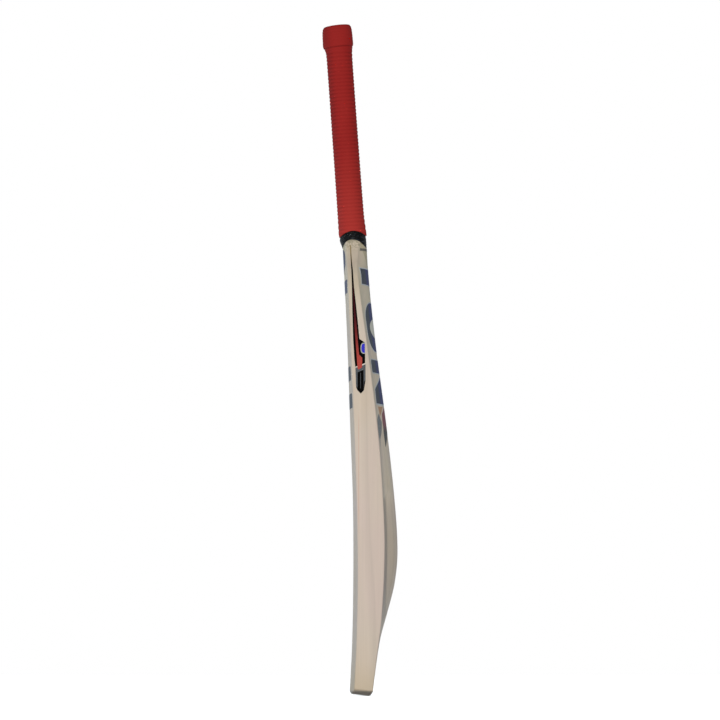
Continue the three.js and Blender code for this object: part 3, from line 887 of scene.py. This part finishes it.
def wound_ring(up):
    """One section through the turns of twine."""
    lifted = up - TURN_ARCH * np.cos(ANGLES) ** 2
    wobble = TURN_WOBBLE * np.sin(3 * ANGLES + 0.9 * up) * np.sin(0.37 * up)
    phase = (lifted + wobble) / TURN_PITCH - ANGLES / (2 * np.pi)
    thread = np.sqrt(np.abs(np.cos(np.pi * phase)))
    sink = TURN_RELIEF * (1 - thread)
    x = (binding_rx(up) - sink) * np.cos(ANGLES)
    y = neck_offset(up) + (binding_ry(up) - sink) * np.sin(ANGLES)
    bulge = BULGE * math.exp(-(((up - BULGE_UP) / BULGE_REACH) ** 2))
    y -= bulge * np.maximum(0, -np.sin(ANGLES)) ** 2
    return at_handle(np.stack([x, y, np.full(AROUND, up)], 1))


def make_twine(material):
    """The neck's winding: a sleeve with a thread of twine spiralling up it."""
    outside = [wound_ring(up) for up in np.arange(BINDING_FOOT, BARE_TOP, TURN_PITCH / TURN_STEPS)]
    outside += [binding_ring(up) for up in (BARE_TOP + 2, 21, 30, 45, 60, BINDING_TOP)]
    inside = [
        handle_ring(up, core_rx(up) + GAP, binding_ry(up) - TWINE_THICKNESS, neck_offset(up))
        for up in (BINDING_FOOT, -8, 0, 8, 16, 30, 45, 60, BINDING_TOP)
    ]
    twine = loft("twine_binding_wound", outside + inside[::-1], closed=True)
    carve(twine, ("DIFFERENCE", beyond_arch("below_arch", GAP / 2, 0)))
    smooth_shade(twine, 50)
    show(twine, "twine", [material], "twine_binding")


# ------------------------ rubber grip

def rib_at(up):
    """How far the surface sinks between two ribs, in the crease and between the collar's rings."""
    wave = np.abs(np.cos(np.pi * (up - RIB_START) / RIB_PITCH))
    fade = smoothstep(RIB_START - 1, RIB_START + 3, up) * (1 - smoothstep(RIB_END - 4, RIB_END, up))
    crease = np.exp(-(((up - CREASE_UP) / CREASE_REACH) ** 2))
    rings = np.sin(np.pi * (up - CREASE_UP) / COLLAR_RING_PITCH) ** 2
    rings *= smoothstep(CREASE_UP + 6, CREASE_UP + 9, up)
    return RIB_RELIEF * (1 - wave**0.8) * fade + CREASE_DEPTH * crease + COLLAR_RELIEF * rings


def askew(up):
    """The grip's collar sits askew, higher towards the back."""
    return COLLAR_TILT * smoothstep(COLLAR_FROM - 6, COLLAR_FROM + 6, up)


def shifted(up):
    return COLLAR_SHIFT * smoothstep(COLLAR_FROM - 4, COLLAR_FROM + 8, up)


def make_grip(material):
    """The grip: a ribbed sleeve with an arched lip, a thick collar and a rim over the cane."""
    lip_top = GRIP_LIP + GRIP_LIP_ARCH
    rings = []
    low = lip_top - LIP_BEVEL
    last = GRIP_TOP - RIM_BEVEL
    for up in np.linspace(low, last, round((last - low) / RIB_STEP)):
        arch = GRIP_LIP_ARCH * (1 - smoothstep(low, LIP_ARCH_END, up))
        radius = grip_outside(max(up, lip_top)) + RIB_CREST - rib_at(up)
        rounded = LIP_ROUND * max(0.0, 1 - (up - low) / LIP_ROUND) ** 2
        offset = neck_offset(up) + shifted(up)
        ring = handle_ring(up - arch, radius - rounded, radius - rounded, offset, arch, askew(up))
        dent = DENT_DEPTH * math.exp(-(((up - DENT_UP) / DENT_REACH) ** 2))
        ring[:, 1] += dent * np.maximum(0, -np.sin(ANGLES)) ** 2
        rings.append(ring)
    outside = grip_outside(last) + RIB_CREST
    corner = ((outside, last), (outside - 0.5, GRIP_TOP), (RIM_OUTSIDE, GRIP_TOP))
    shoulder = bezier(corner, np.linspace(0, 1, 7))[1:]
    rings += [
        handle_ring(up, radius, radius, COLLAR_SHIFT, tilt=COLLAR_TILT) for radius, up in shoulder
    ]
    corner = ((GRIP_HOLE + RIM_BEVEL, GRIP_TOP), (GRIP_HOLE, GRIP_TOP), (GRIP_HOLE, last))
    hole = bezier(corner, np.linspace(0, 1, 6))
    rings += [handle_ring(up, radius, radius, tilt=COLLAR_TILT) for radius, up in hole]
    rings.append(handle_ring(RIM_UNDERSIDE, GRIP_HOLE, GRIP_HOLE))
    rings += [binding_ring(up, GAP) for up in (RIM_UNDERSIDE, 60, 45, 30, 20, 14, 12)]
    lip = (binding_rx(GRIP_LIP) + GAP, binding_ry(GRIP_LIP) + GAP)
    rings.append(handle_ring(GRIP_LIP, *lip, neck_offset(lip_top), GRIP_LIP_ARCH))
    grip = loft("ribbed_grip", rings, closed=True)
    smooth_shade(grip, 60)
    show(grip, "grip_rubber", [material], "rubber_grip")


# ------------------------ decals

def on_back(points, lift):
    x, z = points.T
    return np.stack([x, back_at(z, x / half_width_at(z)) + lift, z], 1)


def on_face(points, lift):
    x, z = points.T
    return np.stack([x, face_at(z, x / half_width_at(z)) - lift, z], 1)


def on_right_edge(points, lift):
    y, z = points.T
    return np.stack([half_width_at(z) + lift, y, z], 1)


def on_left_edge(points, lift):
    return on_right_edge(points, lift) * (-1, 1, 1)


def film(outline, place, lift, thickness):
    """Points and faces of a thin closed film with that outline, laid on a surface of the blade."""
    work = bmesh.new()
    work.faces.new([work.verts.new((u, v, 0)) for u, v in outline])
    bmesh.ops.triangulate(work, faces=work.faces[:])
    spread = np.array(outline, float)
    for axis in (0, 1):
        normal = Vector((1 - axis, axis, 0))
        low, high = spread[:, axis].min(), spread[:, axis].max()
        for at in np.arange(low + FILM_STEP, high, FILM_STEP):
            every = work.verts[:] + work.edges[:] + work.faces[:]
            bmesh.ops.bisect_plane(work, geom=every, plane_co=normal * at, plane_no=normal)
    work.verts.index_update()
    flat = np.array([vertex.co[:2] for vertex in work.verts])
    count = len(flat)
    tops = [[vertex.index for vertex in face.verts] for face in work.faces]
    rims = [
        [vertex.index for vertex in loop.edge.verts]
        for face in work.faces for loop in face.loops if loop.edge.is_boundary
    ]
    work.free()
    faces = tops + [[count + i for i in reversed(face)] for face in tops]
    faces += [[a, b, count + b, count + a] for a, b in rims]
    points = np.concatenate([place(flat, lift + thickness), place(flat, lift)])
    return points, faces


def layer_place(level):
    """How far a layer is off the blade, and how thick it is: the film at level 0, inks above."""
    if level == 0:
        return FILM_LIFT, FILM_THICKNESS
    first_ink = FILM_LIFT + FILM_THICKNESS + INK_GAP
    return first_ink + (level - 1) * (INK_THICKNESS + INK_GAP), INK_THICKNESS


def make_decal(name, node, place, layers):
    """A decal of printed layers, from the lowest up: each an outline, a level and a material."""
    points, faces, marks, materials = np.zeros((0, 3)), [], [], []
    for outline, level, material in layers:
        new_points, new_faces = film(outline, place, *layer_place(level))
        faces += [[len(points) + i for i in face] for face in new_faces]
        points = np.concatenate([points, new_points])
        if material not in materials:
            materials.append(material)
        marks += [materials.index(material)] * len(new_faces)
    decal = make_object(name, points, faces)
    turn_outwards(decal)
    show(decal, "decal_film", materials, node)
    decal.data.polygons.foreach_set("material_index", marks)
    decal.data.update()


def block(half_width, bottom, top, radius):
    """A rounded block across the blade, as an outline of (x, z) points."""
    corners = (
        (half_width - radius, bottom + radius, -90), (half_width - radius, top - radius, 0),
        (-half_width + radius, top - radius, 90), (-half_width + radius, bottom + radius, 180),
    )
    outline = []
    steps = max(3, round(radius))
    for x, z, start in corners:
        for angle in np.radians(np.linspace(start, start + 90, steps + 1)):
            outline.append((x + radius * math.cos(angle), z + radius * math.sin(angle)))
    return outline


def mirrored(points):
    """An outline from its right half, top down. A point on the middle isn't repeated."""
    return [*points, *[(-x, z) for x, z in reversed(points) if x > 0]]


def half_oval(flat_at, middle, reach, height, steps, squareness=(1, 1)):
    """Half an oval, flat at one side. It points to the left if the reach is below 0."""
    across_power, up_power = squareness
    outline = []
    for angle in np.linspace(0, math.pi, steps + 1):
        across = math.sin(angle) ** across_power
        up = math.copysign(abs(math.cos(angle)) ** up_power, math.cos(angle))
        outline.append((flat_at + reach * across, middle + height / 2 * up))
    return outline


# The edge's print, in (y, z) points: the needle from its top down its face side and up again.
NEEDLE_FACE_SIDE = (
    (-12.5, 569.5), (-12.2, 558.5), (-11.6, 547.5), (-10.9, 536), (-10.2, 514.5), (-9.8, 491.5),
    (-9.3, 471), (-8.5, 446), (-7, 421.5), (-5.8, 411.5),
)
NEEDLE_FOOT = (
    (-5, 387.4), (-3.2, 387), (-3.2, 383.2), (1, 378.9), (4.9, 383.2), (5.4, 394.6), (7, 395.6),
    (7, 415.5),
)
NEEDLE_BACK_SIDE = (
    (6.4, 417.5), (6.4, 443.2), (3.2, 443.4), (-0.7, 448), (-2.5, 467), (-2.9, 471), (-5, 491.5),
    (-7.6, 514.5), (-9, 536), (-10.2, 547.5), (-11, 558.5), (-11.3, 569.5),
)
NEEDLE = (*NEEDLE_FACE_SIDE, *NEEDLE_FOOT, *NEEDLE_BACK_SIDE)
GREY_BASE = ((-5.7, 411.2), *NEEDLE_FOOT)
RED_STRIPE = (
    (-9.1, 521), (-8.1, 491.5), (-7.5, 471), (-5.6, 446), (-4.1, 426), (-3.1, 411.3),
    (-1.8, 409.2), (2.6, 412.3), (2.8, 424.3), (-1.2, 428.2), (-2.8, 446), (-4.6, 471),
    (-6.7, 491.5),
)
PALE_LINE = ((-5.7, 411.4), (6.9, 415.9), (6.7, 417.6), (-5.8, 412.9))
TAIL = ((-3.1, 405.8), (-3.1, 383.4), (1, 379.2), (4.8, 383.4), (4.5, 409.2))
TAIL_LINE = ((0.45, 405), (0.45, 385.5), (0.95, 385.5), (0.95, 405.4))
BADGE_MIDDLE = 436.3
BADGE_SQUARENESS = (0.6, 0.8)


def make_edge_decals(films):
    badge_rim = half_oval(6.3, BADGE_MIDDLE, -5.6, 14.2, 16, BADGE_SQUARENESS)
    badge = half_oval(6, BADGE_MIDDLE, -4.2, 11.6, 16, BADGE_SQUARENESS)
    layers = [
        (NEEDLE, 0, films["black"]),
        (GREY_BASE, 1, films["slate"]),
        (PALE_LINE, 2, films["pale"]),
        (TAIL, 2, films["black"]),
        (TAIL_LINE, 3, films["slate"]),
        (RED_STRIPE, 3, films["red"]),
        (badge_rim, 1, films["silver"]),
        (badge, 2, films["blue"]),
    ]
    make_decal("edge_print_right", "edge_decal_right", on_right_edge, layers)
    make_decal("edge_print_left", "edge_decal_left", on_left_edge, layers)


# The back's print, in (x, z) points. Right of the spine are dark blocks with a pale edge, left of
# it plain patches of the same heights.
BLOCK_EDGE = 1.3
PATCH_SIDES = (-5, -36)
NECK_BAR = (17.8, 562.7, 566, 1)
SMALL_BLOCK_EDGE = ((34.6, 540.2), (39.9, 517.6), (0, 517.6), (0, 540.2))
SMALL_BLOCK = ((33.4, 538.9), (38.5, 518.9), (0, 518.9), (0, 538.9))
ROUND_BLOCK = (36.3, 434.6, 496.2, 24)
WINDOW = (24.5, 451.5, 476.6)
LOW_BLOCK = (38.5, 407, 423.3, 2)
WEDGE_EDGE = ((10, 402.6), (37.6, 386.4), (39, 366), (0, 366), (0, 404.4))
WEDGE = ((9, 401.2), (36.3, 385.6), (37.4, 367.8), (0, 367.8), (0, 402.8))
ACCENT = (
    (0, 364.8), (8, 363.2), (21, 355.4), (22.3, 347.5), (21.8, 340), (22.6, 331), (21.3, 313.4),
    (8, 328.4), (0, 332),
)
ORANGE_PETAL = ((32.5, 363.9), (14, 364.6), (25, 355), (29, 351.6))
GREY_LEAF = (
    (33, 355), (43, 346.8), (44.6, 331.5), (40.2, 322), (39.4, 312.5), (38, 322), (30, 331),
    (25, 344.5),
)


def half_block(half_width, bottom, top, radius):
    """The right half of a rounded block."""
    outline = block(half_width, bottom, top, radius)
    return [*outline[:len(outline) // 2], (0, top), (0, bottom)]


def edged_half_block(half_width, bottom, top, radius):
    """The right half of a block: its pale edge and, inside it, its dark field."""
    edge = half_block(
        half_width + BLOCK_EDGE, bottom - BLOCK_EDGE, top + BLOCK_EDGE, radius + BLOCK_EDGE
    )
    return edge, half_block(half_width, bottom, top, radius)


def patch_beside(outline):
    """A plain patch on the left of the spine, as high as the outline."""
    near, far = PATCH_SIDES
    heights = [z for _, z in outline]
    low, high = min(heights), max(heights)
    return [(near, low), (near, high), (far, high), (far, low)]


def make_back_decals(films):
    bar = [(block(*NECK_BAR), 0, films["dash"])]
    make_decal("back_print_bar", "back_decal_bar", on_back, bar)
    blocks = {
        "small_block": (SMALL_BLOCK_EDGE, SMALL_BLOCK),
        "round_block": edged_half_block(*ROUND_BLOCK),
        "low_block": edged_half_block(*LOW_BLOCK),
        "wedge": (WEDGE_EDGE, WEDGE),
    }
    for name, (edge, field) in blocks.items():
        layers = [
            (edge, 0, films["silver_grey"]),
            (field, 1, films["block"]),
            (patch_beside(field), 0, films["grey"]),
        ]
        if name == "round_block":
            reach, bottom, top = WINDOW
            window = half_oval(0, (bottom + top) / 2, reach, top - bottom, 24)
            layers.append((window, 2, films["window"]))
        make_decal(f"back_print_{name}", f"back_decal_{name}", on_back, layers)
    layers = [(mirrored(ACCENT), 0, films["accent"])]
    for side in (1, -1):
        layers.append(([(side * x, z) for x, z in ORANGE_PETAL], 0, films["orange"]))
        layers.append(([(side * x, z) for x, z in GREY_LEAF], 0, films["grey"]))
    make_decal("back_print_accent", "back_decal_accent", on_back, layers)


# The face's print, in (x, z) points.
FACE_LEAF = ((6, 565), (14, 562), (18, 557), (22, 550), (25, 544), (18, 538), (5, 534))


def make_face_decals(films):
    shapes = {
        "leaf": (mirrored(FACE_LEAF), "navy"),
        "bar": (block(44, 507, 524, 2), "navy"),
        "upper_block": (block(44, 396.5, 414.5, 3), "slate"),
        "lower_block": (block(47, 361.5, 380, 3), "slate"),
    }
    for name, (outline, look) in shapes.items():
        layers = [(outline, 0, films[look])]
        make_decal(f"face_print_{name}", f"face_decal_{name}", on_face, layers)


# ------------------------ studio, in metres and watts

STUDIO_AIM = (0, 0, 0.4)
KEY_PLACE = (2.9, -0.305, 0.35)
KEY_SIZE = (0.1, 1.1)
KEY_POWER = 58
KEY_TINT = (1, 0.955, 0.88)
FACE_PLACE = (-0.7, -2.6, 0.5)
FACE_SIZE = (1.2, 1.4)
FACE_POWER = 24.5
FACE_TINT = (0.61, 0.83, 1)
FLOOR_SUN = 2.8
FLOOR_REACH = 30
SURROUND = ((0.82, 0.9, 1.0), 0.41)  # colour and strength
BACKDROP = ((1, 1, 1), 1.0)
CAMERA_PLACE = (5.8, 0, 0.03)
CAMERA_AIM = (0, 0, 0.425)
CAMERA_LENS = 229


def add_area(name, place, size, power, tint):
    data = bpy.data.lights.new(name, "AREA")
    data.shape = "RECTANGLE"
    data.size, data.size_y = size
    data.energy = power
    data.color = tint
    light = bpy.data.objects.new(name, data)
    light.location = place
    light.rotation_euler = aimed(place, STUDIO_AIM)
    bpy.context.scene.collection.objects.link(light)


def aimed(place, aim):
    """The turn that points a light or a camera at its aim."""
    return (Vector(aim) - Vector(place)).to_track_quat("-Z", "Y").to_euler()


def light_floor(floor):
    """An even light from overhead for the floor alone, so that the ground stays white."""
    only = bpy.data.collections.new("floor_only")
    only.objects.link(floor)
    data = bpy.data.lights.new("floor_light", "SUN")
    data.energy = FLOOR_SUN
    data.angle = math.radians(40)
    light = bpy.data.objects.new("floor_light", data)
    bpy.context.scene.collection.objects.link(light)
    light.light_linking.receiver_collection = only
    floor.visible_diffuse = False


def make_floor(look):
    side = FLOOR_REACH / MM
    corners = [(-side, -side, 0), (side, -side, 0), (side, side, 0), (-side, side, 0)]
    floor = make_object("studio_floor", corners, [[0, 1, 2, 3]])
    floor.data.materials.append(look)
    return floor


def make_world():
    """A dim bluish surround, with a white backdrop for the camera."""
    world = bpy.data.worlds.new("studio")
    bpy.context.scene.world = world
    world.use_nodes = True
    nodes, links = world.node_tree.nodes, world.node_tree.links
    nodes.clear()
    output = nodes.new("ShaderNodeOutputWorld")
    both = nodes.new("ShaderNodeMixShader")
    ray = nodes.new("ShaderNodeLightPath")
    links.new(ray.outputs["Is Camera Ray"], both.inputs[0])
    for socket, (colour, strength) in ((1, SURROUND), (2, BACKDROP)):
        background = nodes.new("ShaderNodeBackground")
        background.inputs["Color"].default_value = (*colour, 1)
        background.inputs["Strength"].default_value = strength
        links.new(background.outputs[0], both.inputs[socket])
    links.new(both.outputs[0], output.inputs["Surface"])


def make_studio(floor_look):
    """A seamless pale floor, an even surround, and soft lights on the edge and on the face."""
    floor = make_floor(floor_look)
    make_world()
    add_area("key_light", KEY_PLACE, KEY_SIZE, KEY_POWER, KEY_TINT)
    add_area("face_light", FACE_PLACE, FACE_SIZE, FACE_POWER, FACE_TINT)
    light_floor(floor)


def make_camera():
    """At the blade's edge, from just above the floor, looking slightly up."""
    data = bpy.data.cameras.new("camera")
    data.sensor_width = 36
    data.lens = CAMERA_LENS
    data.clip_end = 100
    camera = bpy.data.objects.new("camera", data)
    camera.location = CAMERA_PLACE
    camera.rotation_euler = aimed(CAMERA_PLACE, CAMERA_AIM)
    bpy.context.scene.collection.objects.link(camera)
    bpy.context.scene.camera = camera


# ------------------------ the bat

def dress_inner_parts(cane, springs):
    """The inner cane strips and the springs keep their CAD meshes and get their materials."""
    looks = {"cane_fore": cane, "cane_aft": cane, "rubber_spring": springs}
    for name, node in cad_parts.items():
        for start, look in looks.items():
            if name.startswith(start):
                node.data.materials.clear()
                node.data.materials.append(look)


def main():
    willow, cane = willow_material(), cane_material()
    make_blade_and_canes(willow, cane)
    make_twine(twine_material())
    make_grip(grip_rubber_material())
    dress_inner_parts(cane, spring_rubber_material())
    films = make_films()
    make_edge_decals(films)
    make_back_decals(films)
    make_face_decals(films)
    make_studio(floor_material())
    make_camera()
    bpy.context.scene.view_settings.view_transform = "Standard"


main()
